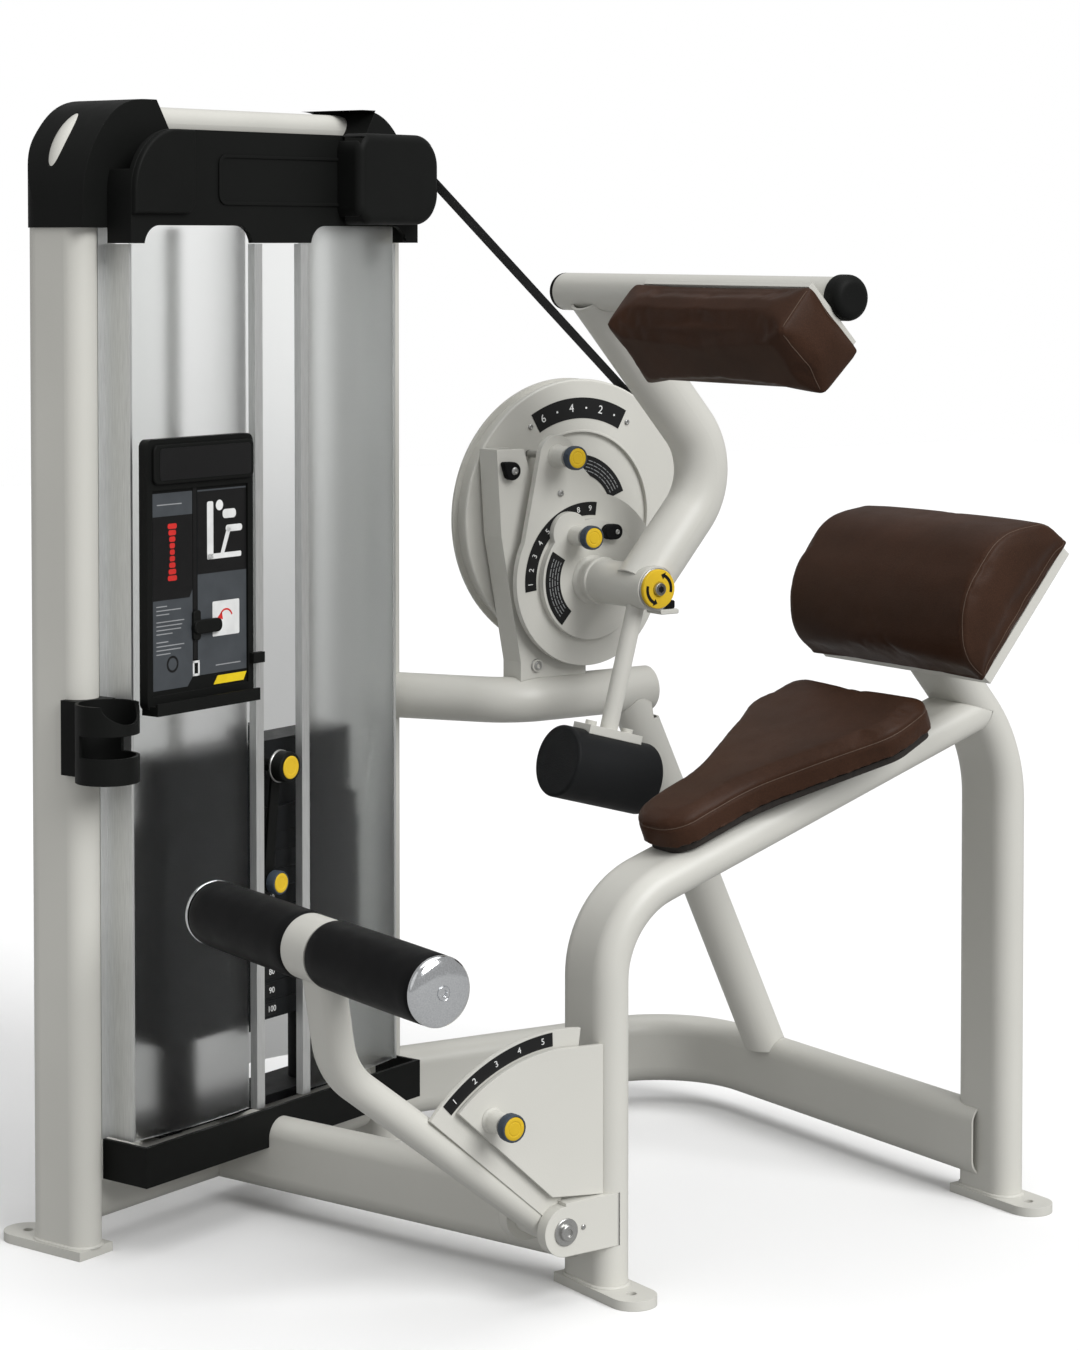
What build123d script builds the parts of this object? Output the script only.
"""Selectorised back-extension machine: weight tower, cam, movement arm, seat and foot rollers.

Millimetres, +Z up.  The user sits facing -Y and the weight tower stands on the -X side.
Everything is laid out from the seat front post, then moved so that the origin is at the
centre of the footprint.  The tower is turned about +Z against the seat.
"""
import math
import os

from build123d import *

# placement of the seat front post and of the tower
SEAT_X = 271.8
SEAT_Y = -83.6
TOWER_TURN = 18.5

# frame tubes
POST_W = 100.0
POST_D = 50.0
WALL = 3.0
PLATE_T = 12.0
BASE_LOW = 30.0
BASE_H = 100.0
BASE_W = 50.0

# seat frame
SEAT_BEAM_Z = 477.0
SEAT_SLOPE = 18.0
SEAT_BEND = 120.0
REAR_POST_Y = 666.0
REAR_KNEE_Z = 623.0
REAR_BEND = 200.0
REAR_TOP = (524.0, 792.0)

# back pad
PAD_WIDTH = 357.0
BACK_A = (643.0, 915.0)
BACK_B = (489.0, 737.0)

# tower, in its own turned frame
POST_U = -637.0
TOWER_V = 18.0
POST_OFFSET = 305.0
TOWER_TOP = 1491.0
POST_TOP = 1366.0

# stack
STACK_U = -607.6
STACK_V = 17.8
PLATE_PITCH = 25.4
PLATE_W = 390.0
PLATE_DEEP = 84.0
STACK_LOW = 250.8
RESTING = 7
LIFTED = 3
GUIDE_R = 9.5
GUIDE_HIGH = 1325.0
GUIDE_OFFSET = 134.0

# movement arm
HUB_Y = 339.0
HUB_Z = 826.0
SHAFT_R = 15.0
RUN_GAP = 0.05
ARM_X = -367.0
CAM_Y = 375.0
CAM_Z = 910.0
CAM_R = 198.0
CAM_X = -602.0
CAM_T = 40.0
HUB_END = -322.0
LOBE_R = 86.0
RANGE_R = 124.0
RANGE_KNOB = (285.0, 1003.0)
START_KNOB = (309.0, 890.0)

# belt
BELT_X = -582.0
BELT_W = 25.0
BELT_T = 3.0
PULLEY_R = 50.0
PULLEY_Z = 1391.0
REAR_PULLEY_Y = 62.0
STACK_PULLEY_Y = -126.0
STACK_Y = -176.0

# upper pad
UP_WIDTH = 370.0
UP_TOP = (197.0, 1264.0)
UP_LEFT = (140.0, 1199.0)
UP_LOW = (214.0, 1113.0)
UP_RIGHT = (281.0, 1176.0)
CROSS_Y = 260.5
CROSS_Z = 1237.5
CROSS_R = 26.0
CROSS_END = 158.0

# foot arm
FOOT_Y = -82.0
FOOT_Z = 97.0
FOOT_BEND = (-378.0, 328.0)
ROLLER_Y = -400.0
ROLLER_Z = 476.0
ROLLER_R = 41.0
ROLLER_END = 252.0
INDEX_R = 184.0
INDEX_ANGLE = 124.0
INDEX_STEP = 9.2

SEAT = Location((SEAT_X, SEAT_Y, 0.0))
TOWER = Location((SEAT_X, SEAT_Y, 0.0), (0.0, 0.0, TOWER_TURN))

# foot plate
MID_BEAM_X = -522.0
MID_BEAM_Z = 656.0
MID_BEAM_R = 32.5
REAR_BASE_Y = 655.0
TOP_BEAM_Z = 1463.0
TOP_BEAM_R = 22.0
TOP_BEAM_BEND = 75.0

# foot plates
ANCHOR_R = 6.5
ANCHOR_OUT = 74.0

# back pad
BACK_STEEL = 20.0
BACK_WOOD = 14.0

# seat plane
SEAT_NOSE_Y = 92.0
SEAT_LONG = 392.0
SEAT_THICK = 42.0
SEAT_BOARD = 8.0
SEAT_TILT = 21.5

# shield
COVER_LOW = 145.0
COVER_HIGH = 1325.0
SHIELD_HIGH = 1334.0
COLUMN_FRONT = -556.0
COLUMN_WALL = 268.0
SHIELD_EDGE = 264.0
TRIM_IN = 39.0
TRIM_OUT = 54.0
TRIM_BACK = -545.0
TRIM_FRONT = -533.0
TRIM_HIGH = 1304.0
SHIELD_BULGE = 22.0
SHIELD_T = 3.0

# hoods
HOOD_LOW = 1325.0
HOOD_BACK = -688.0
HOOD_CURVE = 115.0
HOOD_IN_NEAR = 165.0
HOOD_IN_FAR = 215.0
HOOD_FRONT = -574.0

# fascia arch
FASCIA_FRONT = -532.0
FASCIA_BACK = -574.0
FASCIA_LOW = 1305.0
FASCIA_HIGH = 1452.0
FASCIA_HALF = 289.0
ARCH_OFFSET = 162.0
ARCH_HALF = 103.0
ARCH_RISE = 23.0

# pulley cover
PULLEY_V = 244.0
COVER_Z0 = 1330.0
COVER_Z1 = 1455.0
COVER_FRONT = -490.0

# placard
PLACARD_V0 = TOWER_V - 268.0
PLACARD_V1 = TOWER_V - 66.0
PLACARD_BACK = -541.0
PLACARD_FRONT = -527.0
PLACARD_LOW = 706.0
PLACARD_HIGH = 1054.0

# bottle holder
CUP_LOW = 622.0
CUP_HIGH = 722.0

# head plate
STACK_TOP = STACK_LOW + (RESTING + LIFTED) * PLATE_PITCH
PIN_Z = STACK_LOW + (RESTING + 0.5) * PLATE_PITCH
HEAD_TOP = 650.0
ROD_LOW = 230.0
ANCHOR_Z = 600.0

# selector pin
FRONT_U = STACK_U + PLATE_DEEP / 2

# belt wrap
SLANT_LONG = 565.0
CAM_GROOVE_R = 189.7
RANGE_STEP = 8.0

# pivot bracket
BRACKET_X0 = -556.0
BRACKET_X1 = -512.0

# range plate
RANGE_X0 = -500.0
RANGE_X1 = -490.0
LOBE_X0 = -489.6
LOBE_X1 = -479.6

# spring knob
START_STEP = 11.25

# behind
UP_NORMAL = (0.724, 0.690)
UP_BOARD = 8.0

# weight direction
WEIGHT_Y = 270.0
WEIGHT_Z = 575.0
WEIGHT_R = 50.0
WEIGHT_LONG = 150.0

# foot arm
PIVOT_R = 10.0
CLEVIS_IN = 33.0
CLEVIS_OUT = 50.0

# foot clevis
AXLE_R = 12.5

# foot sector plate
INDEX_X0 = 36.0
INDEX_X1 = 42.0


def save(name, shape, place=SEAT):
    """Move one sub-part to its place and write it."""
    moved = place * shape
    export_step(moved, "parts/" + name + ".step")


def turned(point):
    """Turn a point of the tower frame into the seat frame."""
    angle = math.radians(TOWER_TURN)
    x = point[0] * math.cos(angle) - point[1] * math.sin(angle)
    y = point[0] * math.sin(angle) + point[1] * math.cos(angle)
    return (x, y, point[2])


def path_of(points, radius):
    """Straight or rounded centre line."""
    if len(points) == 2:
        return Line(points[0], points[1])
    return FilletPolyline(*points, radius=radius)


def swept(points, radius, outline, x_dir):
    """Sweep an outline along a centre line."""
    path = path_of(points, radius)
    start = Plane(origin=path @ 0, x_dir=x_dir, z_dir=path % 0)
    return sweep(start * outline, path=path)


def flat_oval(points, radius, width, depth, x_dir):
    """Solid flat-oval bar, as wide as the tube outside."""
    return swept(points, radius, SlotOverall(width, depth), x_dir)


def flat_oval_tube(points, radius, width, depth, x_dir, wall=WALL):
    """Hollow flat-oval tube."""
    bore = SlotOverall(width - 2 * wall, depth - 2 * wall)
    return flat_oval(points, radius, width, depth, x_dir) - swept(points, radius, bore, x_dir)


def round_bar(points, radius, outer, x_dir=(1, 0, 0)):
    """Solid round bar."""
    return swept(points, radius, Circle(outer), x_dir)


def round_tube(points, radius, outer, x_dir=(1, 0, 0), wall=WALL):
    """Hollow round tube."""
    return round_bar(points, radius, outer, x_dir) - round_bar(points, radius, outer - wall, x_dir)


def pin_x(y, z, x0, x1, radius):
    """Cylinder along X."""
    place = Plane(origin=(x0, y, z), x_dir=(0, 1, 0), z_dir=(1, 0, 0))
    return extrude(place * Circle(radius), amount=x1 - x0)


def plate_x(outline, x0, x1):
    """Plate normal to X from an outline whose own axes are Y and Z."""
    place = Plane(origin=(x0, 0, 0), x_dir=(0, 1, 0), z_dir=(1, 0, 0))
    return extrude(place * outline, amount=x1 - x0)


def block(x0, x1, y0, y1, z0, z1):
    """Plain box between two corners."""
    size = Box(x1 - x0, y1 - y0, z1 - z0)
    return Pos((x0 + x1) / 2, (y0 + y1) / 2, (z0 + z1) / 2) * size


def outline_of(points):
    """Closed straight-sided outline."""
    return make_face(Polyline(*points, close=True))


def polar(centre, radius, degrees):
    """Point on a circle in the Y-Z plane."""
    angle = math.radians(degrees)
    return (centre[0] + radius * math.cos(angle), centre[1] + radius * math.sin(angle))


# ---------------------------------------------------------------- frame tubes

def seat_beam_z(y):
    """Height of the seat beam centre line."""
    return SEAT_BEAM_Z + y * math.tan(math.radians(SEAT_SLOPE))


def seat_frame_points():
    return [(0, 0, PLATE_T), (0, 0, SEAT_BEAM_Z), (0, REAR_POST_Y, seat_beam_z(REAR_POST_Y))]


def rear_post_points():
    return [(0, REAR_POST_Y, PLATE_T), (0, REAR_POST_Y, REAR_KNEE_Z), (0, REAR_TOP[0], REAR_TOP[1])]


def front_post_solid():
    return flat_oval(seat_frame_points(), SEAT_BEND, POST_W, POST_D, (1, 0, 0))


def rear_post_solid():
    return flat_oval(rear_post_points(), REAR_BEND, POST_W, POST_D, (1, 0, 0))


def seat_frame_tube():
    tube = flat_oval_tube(seat_frame_points(), SEAT_BEND, POST_W, POST_D, (1, 0, 0))
    pieces = (tube - rear_post_solid()).solids()
    return pieces.sort_by(SortBy.VOLUME)[-1]


def seat_rear_post():
    tube = flat_oval_tube(rear_post_points(), REAR_BEND, POST_W, POST_D, (1, 0, 0))
    return tube - back_pad_space()


def tower_post_solids():
    solids = []
    for side in (-1, 1):
        v = TOWER_V + side * POST_OFFSET
        plan = SlotOverall(POST_W, POST_D)
        solids.append(Pos(POST_U, v, PLATE_T) * extrude(plan, amount=POST_TOP - PLATE_T))
    return solids


def tower_posts():
    made = []
    for side in (-1, 1):
        v = TOWER_V + side * POST_OFFSET
        ring = SlotOverall(POST_W, POST_D) - SlotOverall(POST_W - 2 * WALL, POST_D - 2 * WALL)
        post = Pos(POST_U, v, PLATE_T) * extrude(ring, amount=POST_TOP - PLATE_T)
        made.append(post + Pos(POST_U, v, POST_TOP - 4.0) * extrude(SlotOverall(POST_W, POST_D), amount=4.0))
    return Compound(children=made)


def tower_base_beam_solid():
    v0 = TOWER_V - POST_OFFSET
    v1 = TOWER_V + POST_OFFSET
    mid = BASE_LOW + BASE_H / 2
    return flat_oval([(POST_U, v0, mid), (POST_U, v1, mid)], 0, BASE_H, BASE_W, (0, 0, 1))


def tower_base_beam():
    v0 = TOWER_V - POST_OFFSET
    v1 = TOWER_V + POST_OFFSET
    mid = BASE_LOW + BASE_H / 2
    beam = flat_oval_tube([(POST_U, v0, mid), (POST_U, v1, mid)], 0, BASE_H, BASE_W, (0, 0, 1))
    for post in tower_post_solids():
        beam = beam - post
    return beam


def top_beam_points():
    v0 = TOWER_V - POST_OFFSET
    v1 = TOWER_V + POST_OFFSET
    near = [(POST_U, v0, POST_TOP), (POST_U, v0, TOP_BEAM_Z)]
    return near + [(POST_U, v1, TOP_BEAM_Z), (POST_U, v1, POST_TOP)]


def tower_top_beam():
    """Round tube that stands on both posts and bends over between them."""
    return round_tube(top_beam_points(), TOP_BEAM_BEND, TOP_BEAM_R)


def base_spine():
    mid = BASE_LOW + BASE_H / 2
    spine = flat_oval_tube([(POST_U, 0, mid), (0, 0, mid)], 0, BASE_H, BASE_W, (0, 0, 1))
    spine = spine - tower_base_beam_solid()
    post = extrude(SlotOverall(POST_W, POST_D), amount=SEAT_BEAM_Z - SEAT_BEND)
    return spine - Rot(0, 0, -TOWER_TURN) * post


def rear_base_points():
    start = turned((POST_U - 20.0, TOWER_V + POST_OFFSET, 0))
    mid = BASE_LOW + BASE_H / 2
    return [(start[0], start[1], mid), (-672.0, REAR_BASE_Y, mid), (0, REAR_BASE_Y, mid)]


def rear_base_solid():
    return flat_oval(rear_base_points(), 150.0, BASE_H, BASE_W, (0, 0, 1))


def tower_rear_post_in_seat_frame():
    return Rot(0, 0, TOWER_TURN) * tower_post_solids()[1]


def rear_base_tube():
    tube = flat_oval_tube(rear_base_points(), 150.0, BASE_H, BASE_W, (0, 0, 1))
    tube = tube - tower_rear_post_in_seat_frame()
    tube = tube - Rot(0, 0, TOWER_TURN) * tower_base_beam_solid()
    return tube - rear_post_solid()


def mid_beam_points():
    start = turned((POST_U + 10.0, TOWER_V + POST_OFFSET, 0))
    knee_y = start[1] + (MID_BEAM_X - start[0]) * 0.70
    knee = (MID_BEAM_X, knee_y, MID_BEAM_Z)
    return [(start[0], start[1], MID_BEAM_Z), knee, (MID_BEAM_X, 462.0, MID_BEAM_Z)]


def mid_beam_solid():
    return round_bar(mid_beam_points(), 90.0, MID_BEAM_R, (0, 0, 1))


def mid_beam():
    tube = round_tube(mid_beam_points(), 90.0, MID_BEAM_R, (0, 0, 1))
    cap = Plane(origin=(MID_BEAM_X, 462.0, MID_BEAM_Z), x_dir=(1, 0, 0), z_dir=(0, 1, 0))
    tube = tube + extrude(cap * Circle(MID_BEAM_R), amount=4.0)
    tube = tube - Rot(0, 0, TOWER_TURN) * tower_columns()
    return tube - tower_rear_post_in_seat_frame()


def strut_points():
    return [(MID_BEAM_X, 430.0, MID_BEAM_Z), (-462.0, REAR_BASE_Y, 90.0)]


def diagonal_strut():
    strut = round_tube(strut_points(), 0, 30.0, (1, 0, 0))
    strut = strut - mid_beam_solid() - rear_base_solid()
    cap = block(MID_BEAM_X - 60, MID_BEAM_X + 60, 455.0, 500.0, MID_BEAM_Z - 40, MID_BEAM_Z + 60)
    strut = strut - cap - block(-600, -400, 560, 760, 0, 112)
    return strut.solids().sort_by(SortBy.VOLUME)[-1]


def foot_plate(angle, x0, x1, hole_x):
    """Rounded floor plate with one anchor hole; its long side runs along X."""
    plate = block(x0, x1 - 30, -30, 30, 0, PLATE_T)
    plate = plate + Pos(x1 - 30, 0, 0) * extrude(Circle(30), amount=PLATE_T)
    plate = plate - Pos(hole_x, 0, 0) * extrude(Circle(ANCHOR_R), amount=PLATE_T)
    return Rot(0, 0, angle) * plate


def foot_plates():
    """Two plates under the seat posts and two under the tower posts."""
    made = [foot_plate(0, -50.0, 107.0, ANCHOR_OUT)]
    made.append(Pos(0, REAR_POST_Y, 0) * foot_plate(0, -50.0, 107.0, ANCHOR_OUT))
    for side in (-1, 1):
        place = turned((POST_U, TOWER_V + side * POST_OFFSET, 0))
        made.append(Pos(*place) * foot_plate(180.0 + TOWER_TURN, -50.0, 107.0, ANCHOR_OUT))
    return Compound(children=made)


# ---------------------------------------------------------------- seat and back pad

def along(a, b, t):
    return (a[0] + (b[0] - a[0]) * t, a[1] + (b[1] - a[1]) * t)


def back_normal():
    """Unit vector that points out of the flat back of the back pad."""
    dy = BACK_A[0] - BACK_B[0]
    dz = BACK_A[1] - BACK_B[1]
    length = math.hypot(dy, dz)
    return (dz / length, -dy / length)


def shifted(point, distance):
    n = back_normal()
    return (point[0] + n[0] * distance, point[1] + n[1] * distance)


def back_pad_space():
    """Everything in front of the back of the pad's steel plate."""
    a = shifted(along(BACK_A, BACK_B, -2.0), BACK_STEEL)
    b = shifted(along(BACK_A, BACK_B, 3.0), BACK_STEEL)
    c = shifted(b, -600.0)
    d = shifted(a, -600.0)
    return plate_x(outline_of([a, b, c, d]), -300, 300)


def back_pad():
    """D-shaped roll with a flat back."""
    corners = [BACK_B, BACK_A, (600.0, 943.0), (515.0, 930.0), (450.0, 850.0), (452.0, 770.0)]
    face = outline_of(corners)
    for corner, radius in zip(corners[2:], (50.0, 90.0, 100.0, 70.0)):
        near = [v for v in face.vertices() if math.hypot(v.X - corner[0], v.Y - corner[1]) < 0.5]
        face = fillet(near, radius)
    pad = plate_x(face, -PAD_WIDTH / 2, PAD_WIDTH / 2)
    ends = [e for e in pad.edges() if abs(abs(e.center().X) - PAD_WIDTH / 2) < 0.1]
    return fillet(ends, 7.0)


def back_pad_base():
    """Plywood board and welded steel plate behind the roll."""
    a = along(BACK_A, BACK_B, 0.05)
    b = along(BACK_A, BACK_B, 0.95)
    wood = plate_x(outline_of([a, b, shifted(b, BACK_WOOD), shifted(a, BACK_WOOD)]), -165, 165)
    c = along(BACK_A, BACK_B, 0.2)
    d = along(BACK_A, BACK_B, 0.85)
    corners = [shifted(c, BACK_WOOD), shifted(d, BACK_WOOD), shifted(d, BACK_STEEL), shifted(c, BACK_STEEL)]
    steel = plate_x(outline_of(corners), -90, 90)
    return Compound(children=[wood, steel])


def seat_plane(lift):
    """Plane that starts on the seat beam at the nose: local x runs rearward, local y runs to -X."""
    base_z = seat_beam_z(SEAT_NOSE_Y) + POST_D / 2 / math.cos(math.radians(SEAT_SLOPE)) + 0.5
    angle = math.radians(SEAT_TILT)
    normal = (0, -math.sin(angle), math.cos(angle))
    origin = (0, SEAT_NOSE_Y - lift * math.sin(angle), base_z + lift * math.cos(angle))
    return Plane(origin=origin, x_dir=(0, math.cos(angle), math.sin(angle)), z_dir=normal)


def saddle_outline(shrink):
    """Saddle outline: narrow nose that flares to the rear, drawn in by the given distance."""
    face = outline_of([(0, -52), (130, -64), (305, -150), (SEAT_LONG, -136), (SEAT_LONG, 136), (305, 150),
                       (130, 64), (0, 52)])
    corners = face.vertices()
    face = fillet([v for v in corners if v.X < 1], 44.0)
    corners = face.vertices()
    face = fillet([v for v in corners if 129 < v.X < 131], 160.0)
    corners = face.vertices()
    face = fillet([v for v in corners if v.X > SEAT_LONG - 1], 34.0)
    corners = face.vertices()
    face = fillet([v for v in corners if 304 < v.X < 306], 60.0)
    if shrink > 0:
        face = offset(face, -shrink)
    return face


def seat_pad():
    """Upholstered saddle, rounded along its top edge."""
    pad = extrude(seat_plane(SEAT_BOARD) * saddle_outline(0), amount=SEAT_THICK)
    top = pad.faces().sort_by(SortBy.AREA)[-2:].sort_by(Axis.Z)[-1]
    return fillet(top.edges(), 15.0)


def seat_base():
    """Plywood seat board with two steel spacers welded to the beam."""
    board = extrude(seat_plane(0) * saddle_outline(12.0), amount=SEAT_BOARD)
    made = [board]
    for reach in (110.0, 300.0):
        spacer = extrude(seat_plane(0) * (Pos(reach, 0) * Rectangle(44.0, 46.0)), amount=-40.0)
        made.append(spacer - front_post_solid())
    return Compound(children=made)


# ---------------------------------------------------------------- tower covers and stack

def tower_columns():
    """Aluminium corner columns and the two trims beside the middle slot."""
    made = []
    for side in (-1, 1):
        v0 = TOWER_V + side * (POST_OFFSET - POST_D / 2)
        v1 = TOWER_V + side * 248.0
        low, high = sorted((v0, v1))
        wall_low, wall_high = sorted((TOWER_V + side * COLUMN_WALL, TOWER_V + side * SHIELD_EDGE))
        column = block(-660.0, -600.0, low, high, COVER_LOW, COVER_HIGH)
        column = column - block(-664.0, -604.0, low + 4, high - 4, COVER_LOW, COVER_HIGH)
        made.append(column + block(-600.0, COLUMN_FRONT, wall_low, wall_high, COVER_LOW, TRIM_HIGH))
        t0, t1 = sorted((TOWER_V + side * TRIM_IN, TOWER_V + side * TRIM_OUT))
        made.append(block(TRIM_BACK, TRIM_FRONT, t0, t1, COVER_LOW, TRIM_HIGH))
    return Compound(children=made)


def shield(side, back):
    """Gently bowed shield between a column and a trim."""
    v_out = TOWER_V + side * (248.0 if back else SHIELD_EDGE)
    v_in = TOWER_V + side * (60.0 if back else TRIM_OUT)
    v_mid = (v_out + v_in) / 2
    if back:
        u_out, u_in, push = -660.0, -700.0, -1
    else:
        u_out, u_in, push = -558.0, -548.0, 1
    u_mid = (u_out + u_in) / 2 + push * (SHIELD_BULGE if back else 6.0)
    outer = ThreePointArc((u_out, v_out), (u_mid, v_mid), (u_in, v_in))
    step = -push * SHIELD_T
    inner = ThreePointArc((u_in + step, v_in), (u_mid + step, v_mid), (u_out + step, v_out))
    face = make_face(Wire([outer, Line(outer @ 1, inner @ 0), inner, Line(inner @ 1, outer @ 0)]))
    high = COVER_HIGH if back else SHIELD_HIGH
    return Pos(0, 0, COVER_LOW) * extrude(face, amount=high - COVER_LOW)


def front_shields():
    return Compound(children=[shield(-1, False), shield(1, False)])


def back_shields():
    return Compound(children=[shield(-1, True), shield(1, True)])


def hood(side):
    """Rounded cap over one tower post, hollow below."""
    v_post = TOWER_V + side * POST_OFFSET
    v_out = v_post + side * 28.0
    v_in = TOWER_V + side * (HOOD_IN_NEAR if side < 0 else HOOD_IN_FAR)
    top = TOWER_TOP
    p0 = (v_out, HOOD_LOW)
    p1 = (v_out, HOOD_LOW + 30.0)
    p2 = (v_out - side * HOOD_CURVE, top)
    p3 = (v_in + side * 32.0, top)
    p4 = (v_in, top - 52.0)
    p5 = (v_in, HOOD_LOW + 100.0)
    p6 = (v_post - side * 74.0, HOOD_LOW + 40.0)
    p7 = (v_post - side * 74.0, HOOD_LOW)
    corner = (v_out - side * 0.293 * HOOD_CURVE, top - 0.293 * (top - HOOD_LOW - 30.0))
    edges = [Line(p0, p1), Spline(p1, corner, p2, tangents=[(0, 1), (-side, 0)]), Line(p2, p3), Line(p3, p4)]
    edges = edges + [Line(p4, p5), Line(p5, p6), Line(p6, p7), Line(p7, p0)]
    face = make_face(Wire(edges))
    place = Plane(origin=(HOOD_BACK, 0, 0), x_dir=(0, 1, 0), z_dir=(1, 0, 0))
    body = extrude(place * face, amount=HOOD_FRONT - HOOD_BACK)
    plan_low, plan_high = sorted((v_out, v_in))
    plan = block(HOOD_BACK, HOOD_FRONT, plan_low, plan_high, HOOD_LOW, top)
    upright = plan.edges().filter_by(Axis.Z)
    outer = [e for e in upright if abs(e.center().Y - v_out) < 1 and e.center().X < POST_U]
    body = body - (plan - fillet(outer, 27.0))
    post = Pos(POST_U, v_post, HOOD_LOW) * extrude(SlotOverall(POST_W, POST_D), amount=POST_TOP - HOOD_LOW)
    beam = round_bar(top_beam_points(), TOP_BEAM_BEND, TOP_BEAM_R)
    return body - post - beam


def hoods():
    return Compound(children=[hood(-1), hood(1)])


def fascia_arch(side):
    """Opening over one shield with rounded upper corners."""
    vc = TOWER_V + side * ARCH_OFFSET
    high = FASCIA_LOW + ARCH_RISE
    cut = block(FASCIA_BACK - 1, FASCIA_FRONT + 20, vc - ARCH_HALF, vc + ARCH_HALF, high - 90, high)
    corners = [e for e in cut.edges().filter_by(Axis.X) if e.center().Z > high - 1]
    return fillet(corners, 28.0)


def fascia():
    """Front cover across the top, arched over both shields, with a raised wing at one end."""
    v0 = TOWER_V - FASCIA_HALF
    v1 = TOWER_V + FASCIA_HALF
    body = block(FASCIA_BACK, FASCIA_FRONT, v0, v1, FASCIA_LOW, FASCIA_HIGH)
    along = body.edges().filter_by(Axis.X)
    near = [e for e in along if e.center().Y < TOWER_V and e.center().Z > FASCIA_LOW + 9]
    body = fillet(near, 80.0)
    for side in (-1, 1):
        body = body - fascia_arch(side)
    body = body - block(FASCIA_BACK, FASCIA_FRONT - 7.0, v0 + 5.0, v1 - 5.0, FASCIA_LOW, FASCIA_HIGH)
    wing = block(FASCIA_FRONT, FASCIA_FRONT + 8.0, v0 + 1.0, v0 + 113.0, FASCIA_LOW + 38.0, FASCIA_HIGH - 0.5)
    along = wing.edges().filter_by(Axis.X)
    upper = [e for e in along if e.center().Y < v0 + 20 and e.center().Z > FASCIA_HIGH - 9]
    wing = fillet(upper, 80.0)
    along = wing.edges().filter_by(Axis.X)
    lower = [e for e in along if e.center().Y > v0 + 90 and e.center().Z < FASCIA_HIGH - 50]
    wing = fillet(lower, 18.0)
    wing = fillet(wing.faces().sort_by(Axis.X)[-1].edges(), 3.0)
    opening = block(FASCIA_BACK, FASCIA_FRONT, PULLEY_V - 96.0, v1, COVER_Z0 + 5.0, FASCIA_HIGH)
    return body + wing - opening


def pulley_cover():
    """Hollow cover around the rear top pulley, open behind, with a window for the belt."""
    v0 = PULLEY_V - 112.0
    v1 = PULLEY_V + 62.0
    body = block(FASCIA_FRONT, COVER_FRONT, v0, v1, COVER_Z0, COVER_Z1)
    body = fillet([e for e in body.edges().filter_by(Axis.X) if e.center().Y > PULLEY_V], 44.0)
    body = fillet([e for e in body.edges().filter_by(Axis.X) if e.center().Y < v0 + 1], 26.0)
    body = fillet(body.faces().sort_by(Axis.X)[-1].edges(), 12.0)
    inner = block(FASCIA_FRONT, COVER_FRONT - 5.0, v0 + 5.0, v1 - 5.0, COVER_Z0 + 5.0, COVER_Z1 - 5.0)
    inner = fillet([e for e in inner.edges().filter_by(Axis.X) if e.center().Y > PULLEY_V], 39.0)
    body = body - inner
    return body - block(FASCIA_FRONT, -492.0, v1 - 20.0, v1 + 1.0, COVER_Z0 + 20.0, COVER_Z1 - 14.0)


def base_cover():
    """Low black tray around the stack foot."""
    v0 = TOWER_V - 279.0
    v1 = TOWER_V + 279.0
    body = block(-600.0, -522.0, v0, v1, 93.0, COVER_LOW)
    body = body - block(-600.0, -528.0, v0 + 5.0, v1 - 5.0, 98.0, COVER_LOW)
    beam = Pos(0, 0, 0) * tower_base_beam_solid()
    spine = flat_oval([(POST_U, 0, 80.0), (0, 0, 80.0)], 0, BASE_H, BASE_W, (0, 0, 1))
    return body - beam - spine


def placard():
    """Instruction board with a shelf, stood off the shield on two pads."""
    body = block(PLACARD_BACK, PLACARD_FRONT, PLACARD_V0, PLACARD_V1, PLACARD_LOW, PLACARD_HIGH)
    body = fillet(body.edges().filter_by(Axis.X), 10.0)
    recess_v = (PLACARD_V0 + 10, PLACARD_V1 - 10)
    body = body - block(PLACARD_FRONT - 3, PLACARD_FRONT, *recess_v, PLACARD_LOW + 18, PLACARD_HIGH - 66)
    v0 = PLACARD_V0 + 4
    v1 = PLACARD_V1 - 2
    shelf = block(PLACARD_BACK, PLACARD_FRONT + 14, v0, v1, PLACARD_LOW - 6, PLACARD_LOW + 6)
    lip = block(PLACARD_FRONT + 10, PLACARD_FRONT + 14, v0, v1, PLACARD_LOW + 6, PLACARD_LOW + 10)
    pads = block(-560.0, PLACARD_BACK, TOWER_V - 220.0, TOWER_V - 200.0, PLACARD_LOW + 20, PLACARD_HIGH - 20)
    strip_low = PLACARD_LOW + 20
    strip_high = PLACARD_HIGH - 20
    pads = pads + block(-560.0, PLACARD_BACK, TOWER_V - 130.0, TOWER_V - 110.0, strip_low, strip_high)
    peg = block(PLACARD_FRONT - 3, PLACARD_FRONT + 8, PLACARD_V1 - 8, PLACARD_V1 - 0.5, 748.0, 762.0)
    peg = peg + block(PLACARD_FRONT + 0.4, PLACARD_FRONT + 8, PLACARD_V1 - 8, PLACARD_V1 + 14, 748.0, 762.0)
    body = body + shelf + lip + pads + peg
    return body - tower_trim_space() - shield(-1, False) - shield_inside()


def shield_inside():
    """Space behind the left front shield."""
    v_out = TOWER_V - SHIELD_EDGE
    v_in = TOWER_V - TRIM_OUT
    line = ThreePointArc((-558.0, v_out), (-547.0, (v_out + v_in) / 2), (-548.0, v_in))
    back_in = (-620.0, v_in)
    back_out = (-620.0, v_out)
    edges = [line, Line(line @ 1, back_in), Line(back_in, back_out), Line(back_out, line @ 0)]
    return Pos(0, 0, COVER_LOW) * extrude(make_face(Wire(edges)), amount=COVER_HIGH - COVER_LOW)


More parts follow.
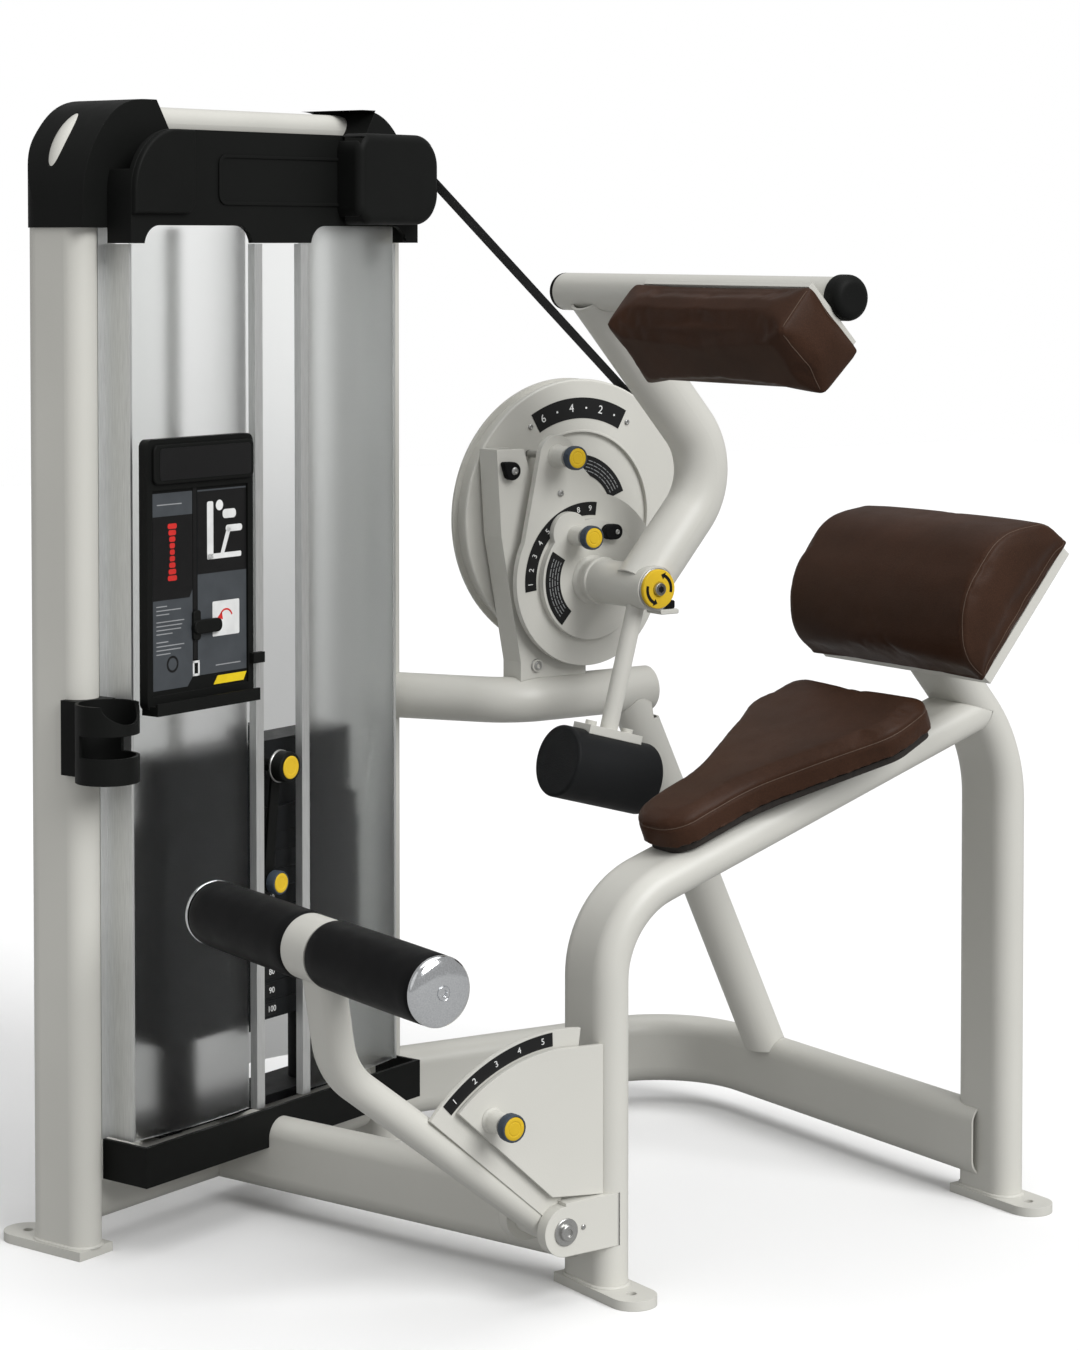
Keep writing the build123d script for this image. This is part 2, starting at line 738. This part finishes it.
def tower_trim_space():
    return block(TRIM_BACK, TRIM_FRONT, TOWER_V - TRIM_OUT, TOWER_V - TRIM_IN, COVER_LOW, TRIM_HIGH)


def bottle_holder():
    """Cup clipped to the front post: a bowl below, an open ring above and a saddle round the post."""
    v = TOWER_V - POST_OFFSET
    cup_u = -546.0
    cup_v = v - 17.0
    cup = Pos(cup_u, cup_v, CUP_LOW) * extrude(Circle(41), amount=CUP_HIGH - CUP_LOW)
    cup = cup - Pos(cup_u, cup_v, CUP_LOW + 5.0) * extrude(Circle(37), amount=CUP_HIGH - CUP_LOW)
    cup = cup - block(cup_u - 10.0, cup_u + 60.0, cup_v - 60.0, cup_v + 60.0, CUP_LOW + 34.0, CUP_LOW + 62.0)
    notch = Plane(origin=(cup_u - 10.0, cup_v, CUP_HIGH), x_dir=(0, 1, 0), z_dir=(1, 0, 0))
    cup = cup - extrude(notch * Ellipse(34.0, 24.0), amount=80.0)
    bridge = block(-612.0, cup_u - 26.0, v - 34.0, v + 24.0, CUP_LOW + 4.0, CUP_HIGH)
    cup_space = Pos(cup_u, cup_v, CUP_LOW - 5.0) * extrude(Circle(40), amount=130.0)
    post = Pos(POST_U, v, 500.0) * extrude(SlotOverall(POST_W, POST_D), amount=300.0)
    return cup + (bridge - cup_space - post)


def guide_rods():
    made = []
    for side in (-1, 1):
        v = STACK_V + side * GUIDE_OFFSET
        made.append(Pos(STACK_U, v, 120.0) * extrude(Circle(GUIDE_R), amount=GUIDE_HIGH - 120.0))
    return Compound(children=made)


def stack_cushions():
    """Rubber cushions, and the steel stack shelf that carries them and the rods."""
    shelf = block(STACK_U - 50.0, STACK_U + 30.0, STACK_V - 196.0, STACK_V + 196.0, 130.0, 142.0)
    for side in (-1, 1):
        v = STACK_V + side * GUIDE_OFFSET
        shelf = shelf - Pos(STACK_U, v, 120.0) * extrude(Circle(GUIDE_R), amount=60.0)
    made = [shelf]
    for side in (-1, 1):
        v = STACK_V + side * GUIDE_OFFSET
        ring = Pos(STACK_U, v, 142.0) * extrude(Circle(27) - Circle(GUIDE_R + 1.0), amount=STACK_LOW - 142.0)
        made.append(ring)
    return Compound(children=made)


def stack_plate(z):
    """One weight plate with guide holes, a selector hole and a clearance slot for the rod."""
    plate = Pos(STACK_U, STACK_V, z + PLATE_PITCH / 2) * Box(PLATE_DEEP, PLATE_W, PLATE_PITCH - 0.6)
    for side in (-1, 1):
        v = STACK_V + side * GUIDE_OFFSET
        plate = plate - Pos(STACK_U, v, z) * extrude(Circle(GUIDE_R + 0.6), amount=PLATE_PITCH)
    plate = plate - Pos(STACK_U, STACK_V, z) * extrude(Circle(16.0), amount=PLATE_PITCH)
    cut = Plane(origin=(STACK_U, STACK_V, z + PLATE_PITCH / 2), x_dir=(0, 1, 0), z_dir=(1, 0, 0))
    return plate - extrude(cut * Circle(5.6), amount=PLATE_DEEP)


def plate_level(index):
    return STACK_LOW + index * PLATE_PITCH


def resting_plates():
    return Compound(children=[stack_plate(plate_level(i)) for i in range(RESTING)])


def weight_stack():
    return Compound(children=[stack_plate(plate_level(RESTING + i)) for i in range(LIFTED)])


def head_plate():
    """Top weight with its carriage, belt clamp and the selector rod."""
    body = block(STACK_U - 42, STACK_U + 42, STACK_V - 190, STACK_V + 190, STACK_TOP, STACK_TOP + 34)
    tall = block(STACK_U - 26, STACK_U + 34, STACK_V - 186, STACK_V + 186, STACK_TOP + 34, HEAD_TOP - 20)
    body = body + tall
    clamp = block(STACK_U - 12, STACK_U + 12, STACK_V - 20, STACK_V + 20, HEAD_TOP - 20, HEAD_TOP)
    body = body + clamp
    for side in (-1, 1):
        v = STACK_V + side * GUIDE_OFFSET
        body = body - Pos(STACK_U, v, STACK_TOP) * extrude(Circle(GUIDE_R + 0.3), amount=300.0)
    rod = Pos(STACK_U, STACK_V, ROD_LOW) * extrude(Circle(14.0), amount=STACK_TOP - ROD_LOW)
    for i in range(RESTING + LIFTED):
        level = plate_level(i) + PLATE_PITCH / 2
        if level > ROD_LOW + 8:
            hole = Plane(origin=(STACK_U - 20, STACK_V, level), x_dir=(0, 1, 0), z_dir=(1, 0, 0))
            rod = rod - extrude(hole * Circle(5.6), amount=40.0)
    return body + rod


def u_pin(v, z, u0, u1, radius):
    """Cylinder along the tower's depth."""
    place = Plane(origin=(u0, v, z), x_dir=(0, 1, 0), z_dir=(1, 0, 0))
    return extrude(place * Circle(radius), amount=u1 - u0)


def selector_pin():
    """Round pin with a broad knob."""
    pin = u_pin(STACK_V, PIN_Z, STACK_U - 14.0, FRONT_U + 20.0, 5.0)
    knob = u_pin(STACK_V, PIN_Z, FRONT_U + 14.0, FRONT_U + 32.0, 16.0)
    return pin + fillet(knob.edges(), 3.0)


def pin_lanyard():
    """Knob on the carriage and the strap that keeps the pin."""
    face = STACK_U + 34.0
    stem = u_pin(STACK_V, ANCHOR_Z, face, FRONT_U + 26.0, 9.0)
    knob = fillet(u_pin(STACK_V, ANCHOR_Z, FRONT_U + 26.0, FRONT_U + 46.0, 21.0).edges(), 3.0)
    line = [(FRONT_U + 18.0, ANCHOR_Z), (FRONT_U + 22.0, ANCHOR_Z)]
    line = line + [(FRONT_U + 6.0, PIN_Z), (FRONT_U + 2.0, PIN_Z)]
    place = Plane(origin=(0, STACK_V - 9.0, 0), x_dir=(1, 0, 0), z_dir=(0, -1, 0))
    strap = extrude(place * outline_of(line), amount=-18.0)
    eye = u_pin(STACK_V, PIN_Z, FRONT_U + 2.0, FRONT_U + 6.0, 14.0)
    hole = u_pin(STACK_V, PIN_Z, FRONT_U, FRONT_U + 12.0, 5.6)
    return stem + knob + strap + eye - hole


def pulley(y):
    """Flanged belt pulley on a bearing."""
    wheel = pin_x(y, PULLEY_Z, BELT_X - 16.0, BELT_X + 16.0, PULLEY_R + 4.0)
    wheel = wheel - (pin_x(y, PULLEY_Z, BELT_X - 13.0, BELT_X + 13.0, 90.0)
                     - pin_x(y, PULLEY_Z, BELT_X - 13.0, BELT_X + 13.0, PULLEY_R - BELT_T / 2 - 0.3))
    for x0 in (BELT_X - 16.0, BELT_X + 6.0):
        ring = pin_x(y, PULLEY_Z, x0, x0 + 10.0, 38.0) - pin_x(y, PULLEY_Z, x0, x0 + 10.0, 18.0)
        wheel = wheel - ring
    return wheel - pin_x(y, PULLEY_Z, BELT_X - 16.0, BELT_X + 16.0, 8.0 + RUN_GAP)


def pulley_axles():
    """Two axles between two steel side plates that hang under the top beam."""
    made = []
    for x0 in (BELT_X - 24.0, BELT_X + 18.0):
        plate = block(x0, x0 + 6.0, -135.0, 92.0, PULLEY_Z - 16.0, PULLEY_Z + 16.0)
        made.append(plate)
    body = made[0] + made[1]
    for y in (REAR_PULLEY_Y, STACK_PULLEY_Y):
        body = body + pin_x(y, PULLEY_Z, BELT_X - 24.0, BELT_X + 24.0, 8.0)
    tie = block(BELT_X - 60.0, BELT_X + 24.0, -60.0, -40.0, PULLEY_Z - 16.0, PULLEY_Z + 16.0)
    tie = tie - block(BELT_X - 18.0, BELT_X + 18.0, -60.0, -40.0, PULLEY_Z - 16.0, PULLEY_Z + 16.0)
    return body + tie


def belt_angle():
    """Direction of the slanting belt run, degrees from +Y."""
    return math.degrees(math.atan2(-0.672, 0.741))


def belt_profile_points():
    up = belt_angle() + 90.0
    top = polar((REAR_PULLEY_Y, PULLEY_Z), PULLEY_R, up)
    slant = math.radians(belt_angle())
    low = (top[0] + SLANT_LONG * math.cos(slant), top[1] + SLANT_LONG * math.sin(slant))
    return top, low


def belt_span():
    """Belt from the cam over both top pulleys to the head of its drop."""
    top, low = belt_profile_points()
    mid = polar((REAR_PULLEY_Y, PULLEY_Z), PULLEY_R, (belt_angle() + 180.0) / 2.0)
    crown = (REAR_PULLEY_Y, PULLEY_Z + PULLEY_R)
    front = (STACK_PULLEY_Y, PULLEY_Z + PULLEY_R)
    corner = polar((STACK_PULLEY_Y, PULLEY_Z), PULLEY_R, 135.0)
    drop = (STACK_PULLEY_Y - PULLEY_R, PULLEY_Z)
    edges = [Line(low, top), ThreePointArc(top, mid, crown)]
    edges = edges + [Line(crown, front), ThreePointArc(front, corner, drop)]
    line = Wire(edges)
    band = trace_band(line, BELT_T)
    return plate_x(band, BELT_X - BELT_W / 2, BELT_X + BELT_W / 2)


def trace_band(line, width):
    """Flat band of the given width about an open line."""
    return trace(line, line_width=width).face()


def belt_drop():
    """Belt from the stack pulley down to the head clamp."""
    return block(BELT_X - BELT_W / 2, BELT_X + BELT_W / 2, STACK_Y - BELT_T / 2, STACK_Y + BELT_T / 2,
                 HEAD_TOP, PULLEY_Z)


# ---------------------------------------------------------------- cam and range plate

def cam_disc():
    """Eccentric cam with a belt groove, a recessed face and a row of index holes."""
    disc = pin_x(CAM_Y, CAM_Z, CAM_X, CAM_X + CAM_T, CAM_R)
    disc = fillet(disc.edges(), 3.0)
    groove = pin_x(CAM_Y, CAM_Z, BELT_X - 13.5, BELT_X + 13.5, CAM_R + 5)
    disc = disc - (groove - pin_x(CAM_Y, CAM_Z, BELT_X - 13.5, BELT_X + 13.5, CAM_GROOVE_R))
    front = CAM_X + CAM_T
    disc = disc - pin_x(CAM_Y, CAM_Z, front - 6.0, front, 121.0)
    disc = disc - pin_x(HUB_Y, HUB_Z, CAM_X, front, SHAFT_R)
    start = math.degrees(math.atan2(RANGE_KNOB[1] - HUB_Z, RANGE_KNOB[0] - HUB_Y))
    radius = math.hypot(RANGE_KNOB[1] - HUB_Z, RANGE_KNOB[0] - HUB_Y)
    for k in range(5):
        y, z = polar((HUB_Y, HUB_Z), radius, start + RANGE_STEP - k * RANGE_STEP)
        disc = disc - pin_x(y, z, front - 12.0, front, 5.1)
    return disc


def belt_wrap():
    """End of the belt, clamped round the cam."""
    ring = pin_x(CAM_Y, CAM_Z, BELT_X - BELT_W / 2, BELT_X + BELT_W / 2, CAM_GROOVE_R + BELT_T)
    ring = ring - pin_x(CAM_Y, CAM_Z, BELT_X - BELT_W / 2, BELT_X + BELT_W / 2, CAM_GROOVE_R)
    a = polar((CAM_Y, CAM_Z), 320.0, 44.0)
    b = polar((CAM_Y, CAM_Z), 320.0, 0.0)
    c = polar((CAM_Y, CAM_Z), 320.0, -50.0)
    wedge = plate_x(outline_of([(CAM_Y, CAM_Z), c, b, a]), BELT_X - 20.0, BELT_X + 20.0)
    return ring & wedge


def pivot_shaft():
    """Shaft that carries the cam and on which the range plate and arm turn."""
    shaft = pin_x(HUB_Y, HUB_Z, CAM_X, HUB_END - 6.0, SHAFT_R)
    return shaft


def pivot_bracket():
    """Welded box on the mid beam with a bearing tube for the shaft."""
    side = [(196.0, 1014.0), (242.0, 1014.0), (262.0, 950.0), (330.0, 884.0), (384.0, 862.0)]
    side = side + [(394.0, 800.0), (350.0, 700.0), (350.0, 640.0)]
    side = side + [(237.0, 640.0), (237.0, 711.0), (204.0, 890.0)]
    plate = plate_x(outline_of(side), BRACKET_X1 - 6.0, BRACKET_X1)
    far = plate_x(outline_of(side), BRACKET_X0, BRACKET_X0 + 6.0)
    web_line = [(196.0, 1014.0), (204.0, 890.0), (237.0, 711.0), (237.0, 640.0)]
    web_back = [(243.0, 640.0), (243.0, 712.0), (210.0, 891.0), (202.0, 1014.0)]
    web = plate_x(outline_of(web_line + web_back), BRACKET_X0, BRACKET_X1)
    body = plate + far + web
    body = body + pin_x(HUB_Y, HUB_Z, BRACKET_X0, BRACKET_X1, 34.0)
    body = body - mid_beam_solid()
    body = body - block(BRACKET_X0 - 1, BRACKET_X1 + 1, 200, 400, 600, MID_BEAM_Z)
    body = body - pin_x(HUB_Y, HUB_Z, BRACKET_X0, BRACKET_X1, SHAFT_R + RUN_GAP)
    bolt = pin_x(264.0, 705.0, BRACKET_X1, BRACKET_X1 + 4.0, 9.0)
    return body + bolt


def stop_bumpers():
    """Rubber stop on the bracket."""
    stop = pin_x(217.0, 984.0, BRACKET_X1, BRACKET_X1 + 11.0, 13.0)
    return fillet(stop.edges().sort_by(Axis.X)[-1], 3.0)


def range_plate():
    """Range plate: a disc about the shaft with an ear for the range knob."""
    ear_y, ear_z = RANGE_KNOB
    disc = pin_x(HUB_Y, HUB_Z, RANGE_X0, RANGE_X1, RANGE_R)
    ear = pin_x(ear_y, ear_z, RANGE_X0, RANGE_X1, 30.0)
    neck_line = [(228.0, 880.0), (256.0, 1010.0), (314.0, 1000.0), (400.0, 915.0), (339.0, 826.0)]
    neck = plate_x(outline_of(neck_line),
                   RANGE_X0, RANGE_X1)
    body = disc + ear + neck
    housing = pin_x(ear_y, ear_z, RANGE_X1, RANGE_X1 + 30.0, 15.0)
    body = body + housing
    body = body - pin_x(HUB_Y, HUB_Z, RANGE_X0, RANGE_X1, SHAFT_R + RUN_GAP)
    body = body - pin_x(ear_y, ear_z, RANGE_X0, RANGE_X1 + 30.0, 5.0 + RUN_GAP)
    start = math.degrees(math.atan2(START_KNOB[1] - HUB_Z, START_KNOB[0] - HUB_Y))
    radius = math.hypot(START_KNOB[1] - HUB_Z, START_KNOB[0] - HUB_Y)
    for k in range(9):
        y, z = polar((HUB_Y, HUB_Z), radius, start + (6 - k) * START_STEP)
        body = body - pin_x(y, z, RANGE_X0, RANGE_X1, 5.1)
    return body


def spring_knob(y, z, tip, housing_end, reach):
    """Pull knob: locating pin, stem and a broad cap."""
    pin = pin_x(y, z, tip, housing_end + reach, 5.0)
    cap = fillet(pin_x(y, z, housing_end + 2.0, housing_end + 20.0, 17.0).edges(), 2.5)
    return pin + cap


def range_knob():
    return spring_knob(RANGE_KNOB[0], RANGE_KNOB[1], CAM_X + CAM_T + 0.5, RANGE_X1 + 30.0, 4.0)


def start_knob():
    return spring_knob(START_KNOB[0], START_KNOB[1], LOBE_X0 + 0.1, LOBE_X1 + 26.0, 4.0)


# ---------------------------------------------------------------- movement arm

def arm_points():
    return [(ARM_X, HUB_Y, HUB_Z), (ARM_X, 476.0, 985.0), (ARM_X, CROSS_Y, CROSS_Z)]


def cross_solid():
    return pin_x(CROSS_Y, CROSS_Z, -431.0, CROSS_END, CROSS_R)


def hub_solid():
    return pin_x(HUB_Y, HUB_Z, LOBE_X1, HUB_END - 8.0, 31.0)


def arm_hub():
    """Hub sleeve with the lobe plate and the start knob's housing."""
    lobe = pin_x(HUB_Y, HUB_Z, LOBE_X0, LOBE_X1, LOBE_R)
    ear = pin_x(START_KNOB[0] - 8.0, START_KNOB[1] + 4.0, LOBE_X0, LOBE_X1, 30.0)
    body = lobe + hub_solid() + ear
    body = body + pin_x(START_KNOB[0], START_KNOB[1], LOBE_X1, LOBE_X1 + 26.0, 14.0)
    body = body - pin_x(HUB_Y, HUB_Z, LOBE_X0, HUB_END - 8.0, SHAFT_R + RUN_GAP)
    return body - pin_x(START_KNOB[0], START_KNOB[1], LOBE_X0, LOBE_X1 + 26.0, 5.0 + RUN_GAP)


def hub_cap():
    """Round cap with a bolt head on the end of the hub."""
    cap = pin_x(HUB_Y, HUB_Z, HUB_END - 5.5, HUB_END, 27.5)
    cap = cap + pin_x(HUB_Y, HUB_Z, HUB_END, HUB_END + 5.0, 9.0)
    ring = pin_x(HUB_Y, HUB_Z, HUB_END - 8.0, HUB_END - 5.5, 29.0)
    ring = ring - pin_x(HUB_Y, HUB_Z, HUB_END - 8.0, HUB_END - 5.5, 16.0)
    return cap + ring


def arm_tube():
    tube = round_tube(arm_points(), 95.0, 38.0, (1, 0, 0), 4.0)
    return tube - pin_x(HUB_Y, HUB_Z, LOBE_X1, HUB_END + 6.0, 31.0) - cross_solid()


def pad_tube():
    return cross_solid() - pin_x(CROSS_Y, CROSS_Z, -431.0, CROSS_END, CROSS_R - WALL)


def pad_tube_caps():
    """Domed plugs on both ends of the cross tube."""
    left = pin_x(CROSS_Y, CROSS_Z, -443.0, -431.0, CROSS_R)
    left = fillet(left.edges().sort_by(Axis.X)[0], 8.0)
    right = pin_x(CROSS_Y, CROSS_Z, CROSS_END, CROSS_END + 24.0, CROSS_R + 3.0)
    right = fillet(right.edges().sort_by(Axis.X)[-1], 12.0)
    return Compound(children=[left, right])


def behind(point, distance):
    """Move a point of the upper pad's outline out of its back."""
    return (point[0] + UP_NORMAL[0] * distance, point[1] + UP_NORMAL[1] * distance)


def upper_pad():
    """Rectangular pad with round edges."""
    corners = [behind(UP_TOP, -UP_BOARD), UP_LEFT, UP_LOW, behind(UP_RIGHT, -UP_BOARD)]
    body = plate_x(outline_of(corners), -UP_WIDTH / 2, UP_WIDTH / 2)
    body = fillet(body.edges().filter_by(Axis.X), 8.0)
    ends = [e for e in body.edges() if abs(abs(e.center().X) - UP_WIDTH / 2) < 0.1]
    return fillet(ends, 6.0)


def upper_pad_base():
    """Board behind the upper pad and two saddles welded to the cross tube."""
    a = along(UP_TOP, UP_RIGHT, 0.08)
    b = along(UP_TOP, UP_RIGHT, 0.92)
    board = plate_x(outline_of([a, b, behind(b, -UP_BOARD), behind(a, -UP_BOARD)]), -170, 170)
    e = along(UP_TOP, UP_RIGHT, 0.22)
    f = along(UP_TOP, UP_RIGHT, 0.78)
    made = board
    for x in (-120.0, 100.0):
        made = made + plate_x(outline_of([e, f, behind(f, 18.0), behind(e, 18.0)]), x - 20, x + 20)
    made = made - pin_x(CROSS_Y, CROSS_Z, CROSS_END, CROSS_END + 30.0, CROSS_R + 3.4)
    return made - cross_solid()


def weight_direction():
    dy = WEIGHT_Y - HUB_Y
    dz = WEIGHT_Z - HUB_Z
    length = math.hypot(dy, dz)
    return (dy / length, dz / length)


def weight_cylinder(extra):
    dy, dz = weight_direction()
    axis = (0, -dz, dy)
    start = (ARM_X, WEIGHT_Y + dz * WEIGHT_LONG / 2, WEIGHT_Z - dy * WEIGHT_LONG / 2)
    place = Plane(origin=start, x_dir=(1, 0, 0), z_dir=axis)
    return extrude(place * Circle(WEIGHT_R + extra), amount=WEIGHT_LONG)


def counterweight():
    body = weight_cylinder(0.0)
    ends = body.edges().filter_by(GeomType.CIRCLE)
    return fillet(ends, 4.0)


def counterweight_rod():
    """Rod from the hub with a bolted saddle on the weight."""
    dy, dz = weight_direction()
    end = (ARM_X, WEIGHT_Y - dy * WEIGHT_R, WEIGHT_Z - dz * WEIGHT_R)
    rod = round_bar([(ARM_X, HUB_Y, HUB_Z), end], 0, 12.5, (1, 0, 0))
    place = Plane(origin=end, x_dir=(1, 0, 0), z_dir=(0, -dy, -dz))
    saddle = extrude(place * Rectangle(40, 92), amount=8.0)
    for side in (-1, 1):
        head = extrude(place.offset(8.0) * (Pos(0, side * 32.0) * Circle(8.0)), amount=6.0)
        saddle = saddle + head
    flange = extrude(place * Rectangle(40, 92), amount=-14.0) - weight_cylinder(0.0)
    body = rod + saddle + flange
    return body - hub_solid() - weight_cylinder(0.0)


# ---------------------------------------------------------------- foot rollers

def foot_arm_points():
    return [(0, FOOT_Y, FOOT_Z), (0, FOOT_BEND[0], FOOT_BEND[1]), (0, ROLLER_Y, ROLLER_Z)]


def foot_arm_solid():
    return flat_oval(foot_arm_points(), 90.0, 63.0, 38.0, (1, 0, 0))


def foot_arm():
    """Bent flat-oval arm with a pivot barrel below and the roller collar above."""
    tube = foot_arm_solid() - flat_oval(foot_arm_points(), 90.0, 57.0, 32.0, (1, 0, 0))
    barrel = pin_x(FOOT_Y, FOOT_Z, -32.3, 32.3, 20.0)
    collar = pin_x(ROLLER_Y, ROLLER_Z, -26.0, 26.0, 39.0)
    tube = tube - pin_x(FOOT_Y, FOOT_Z, -40, 40, 20.0) - pin_x(ROLLER_Y, ROLLER_Z, -40, 40, 39.0)
    for x0 in (-40.0, 26.0):
        tube = tube - pin_x(ROLLER_Y, ROLLER_Z, x0, x0 + 14.0, ROLLER_R + 1.0)
    body = tube + barrel + collar
    body = body - pin_x(ROLLER_Y, ROLLER_Z, -30, 30, AXLE_R)
    body = body - pin_x(FOOT_Y, FOOT_Z, -33, 33, PIVOT_R + RUN_GAP)
    return body.solids()[0]


def foot_clevis():
    """Two ears on the front post with the pivot pin welded through them."""
    body = None
    for side in (-1, 1):
        x0, x1 = sorted((side * CLEVIS_IN, side * CLEVIS_OUT))
        ear = block(x0, x1, FOOT_Y, 0.0, 66.0, 132.0) + pin_x(FOOT_Y, FOOT_Z, x0, x1, 31.0)
        if body is None:
            body = ear
        else:
            body = body + ear
    body = body + pin_x(FOOT_Y, FOOT_Z, -CLEVIS_OUT - 3.0, CLEVIS_OUT + 3.0, PIVOT_R)
    post = flat_oval([(0, 0, 0), (0, 0, 300)], 0, POST_W, POST_D, (1, 0, 0))
    spine = flat_oval([(POST_U, 0, 80.0), (0, 0, 80.0)], 0, BASE_H, BASE_W, (0, 0, 1))
    return body - post - Rot(0, 0, TOWER_TURN) * spine


def foot_index_plate():
    """Fixed quadrant beside the arm with the index knob's housing."""
    centre = (FOOT_Y, FOOT_Z)
    top = polar(centre, 225.0, 93.0)
    mid = polar(centre, 225.0, 112.0)
    tip = polar(centre, 225.0, 132.0)
    edges = [Line((-20.0, 318.0), top), ThreePointArc(top, mid, tip), Line(tip, (-96.0, 140.0))]
    edges = edges + [Line((-96.0, 140.0), (-20.0, 132.0)), Line((-20.0, 132.0), (-20.0, 318.0))]
    plate = plate_x(make_face(Wire(edges)), INDEX_X0, INDEX_X1)
    y, z = polar(centre, INDEX_R, INDEX_ANGLE)
    body = plate + pin_x(y, z, INDEX_X1, INDEX_X1 + 28.0, 13.0)
    body = body - pin_x(y, z, INDEX_X0, INDEX_X1 + 28.0, 5.0 + RUN_GAP)
    post = flat_oval([(0, 0, 0), (0, 0, 340)], 0, POST_W, POST_D, (1, 0, 0))
    return body - post


def foot_sector_plate():
    """Quadrant welded to the arm with five index holes."""
    centre = (FOOT_Y, FOOT_Z)
    a = polar(centre, 246.0, 82.0)
    b = polar(centre, 246.0, 112.0)
    c = polar(centre, 246.0, 139.0)
    edges = [ThreePointArc(a, b, c), Line(c, centre), Line(centre, a)]
    plate = plate_x(make_face(Wire(edges)), 27.0, 33.0)
    plate = plate - pin_x(FOOT_Y, FOOT_Z, 20, 40, 20.0)
    for k in range(5):
        y, z = polar(centre, INDEX_R, INDEX_ANGLE - k * INDEX_STEP)
        plate = plate - pin_x(y, z, 20.0, 40.0, 5.1)
    return plate - foot_arm_solid()


def foot_knob():
    y, z = polar((FOOT_Y, FOOT_Z), INDEX_R, INDEX_ANGLE)
    return spring_knob(y, z, INDEX_X0 + 0.2, INDEX_X1 + 28.0, 4.0)


def foot_axle():
    """Bright axle through the collar with a domed cap on each end."""
    body = pin_x(ROLLER_Y, ROLLER_Z, -ROLLER_END, ROLLER_END, AXLE_R)
    right = pin_x(ROLLER_Y, ROLLER_Z, ROLLER_END + 0.5, ROLLER_END + 14.0, ROLLER_R - 1.0)
    right = fillet(right.edges().sort_by(Axis.X)[-1], 9.0)
    left = pin_x(ROLLER_Y, ROLLER_Z, -ROLLER_END - 14.0, -ROLLER_END - 0.5, ROLLER_R - 1.0)
    left = fillet(left.edges().sort_by(Axis.X)[0], 9.0)
    core = pin_x(ROLLER_Y, ROLLER_Z, -ROLLER_END - 2.0, ROLLER_END + 2.0, AXLE_R)
    return body + core + right + left


def foot_roller(side):
    x0, x1 = sorted((side * 26.5, side * ROLLER_END))
    body = pin_x(ROLLER_Y, ROLLER_Z, x0, x1, ROLLER_R)
    body = fillet(body.edges(), 5.0)
    return body - pin_x(ROLLER_Y, ROLLER_Z, x0, x1, AXLE_R + RUN_GAP)


def main():
    os.makedirs("parts", exist_ok=True)
    save("tower_posts", tower_posts(), TOWER)
    save("tower_top_beam", tower_top_beam(), TOWER)
    save("tower_base_beam", tower_base_beam(), TOWER)
    save("base_spine", base_spine(), TOWER)
    save("rear_base_tube", rear_base_tube())
    save("mid_beam", mid_beam())
    save("diagonal_strut", diagonal_strut())
    save("seat_frame_tube", seat_frame_tube())
    save("seat_rear_post", seat_rear_post())
    save("foot_plates", foot_plates())
    save("pivot_bracket", pivot_bracket())
    save("stop_bumpers", stop_bumpers())
    save("foot_clevis", foot_clevis())
    save("foot_index_plate", foot_index_plate())
    save("hoods", hoods(), TOWER)
    save("fascia", fascia(), TOWER)
    save("pulley_cover", pulley_cover(), TOWER)
    save("base_cover", base_cover(), TOWER)
    save("tower_columns", tower_columns(), TOWER)
    save("front_shields", front_shields(), TOWER)
    save("back_shields", back_shields(), TOWER)
    save("placard", placard(), TOWER)
    save("bottle_holder", bottle_holder(), TOWER)
    save("guide_rods", guide_rods(), TOWER)
    save("stack_cushions", stack_cushions(), TOWER)
    save("resting_plates", resting_plates(), TOWER)
    save("weight_stack", weight_stack(), TOWER)
    save("head_plate", head_plate(), TOWER)
    save("selector_pin", selector_pin(), TOWER)
    save("pin_lanyard", pin_lanyard(), TOWER)
    save("pulley_axles", pulley_axles())
    save("rear_top_pulley", pulley(REAR_PULLEY_Y))
    save("stack_top_pulley", pulley(STACK_PULLEY_Y))
    save("belt_span", belt_span())
    save("belt_drop", belt_drop())
    save("belt_wrap", belt_wrap())
    save("cam_disc", cam_disc())
    save("pivot_shaft", pivot_shaft())
    save("range_plate", range_plate())
    save("range_knob", range_knob())
    save("arm_hub", arm_hub())
    save("hub_cap", hub_cap())
    save("start_knob", start_knob())
    save("arm_tube", arm_tube())
    save("pad_tube", pad_tube())
    save("pad_tube_caps", pad_tube_caps())
    save("upper_pad", upper_pad())
    save("upper_pad_base", upper_pad_base())
    save("counterweight", counterweight())
    save("counterweight_rod", counterweight_rod())
    save("seat_pad", seat_pad())
    save("seat_base", seat_base())
    save("back_pad", back_pad())
    save("back_pad_base", back_pad_base())
    save("foot_arm", foot_arm())
    save("foot_sector_plate", foot_sector_plate())
    save("foot_knob", foot_knob())
    save("foot_axle", foot_axle())
    save("left_foot_roller", foot_roller(1))
    save("right_foot_roller", foot_roller(-1))


main()
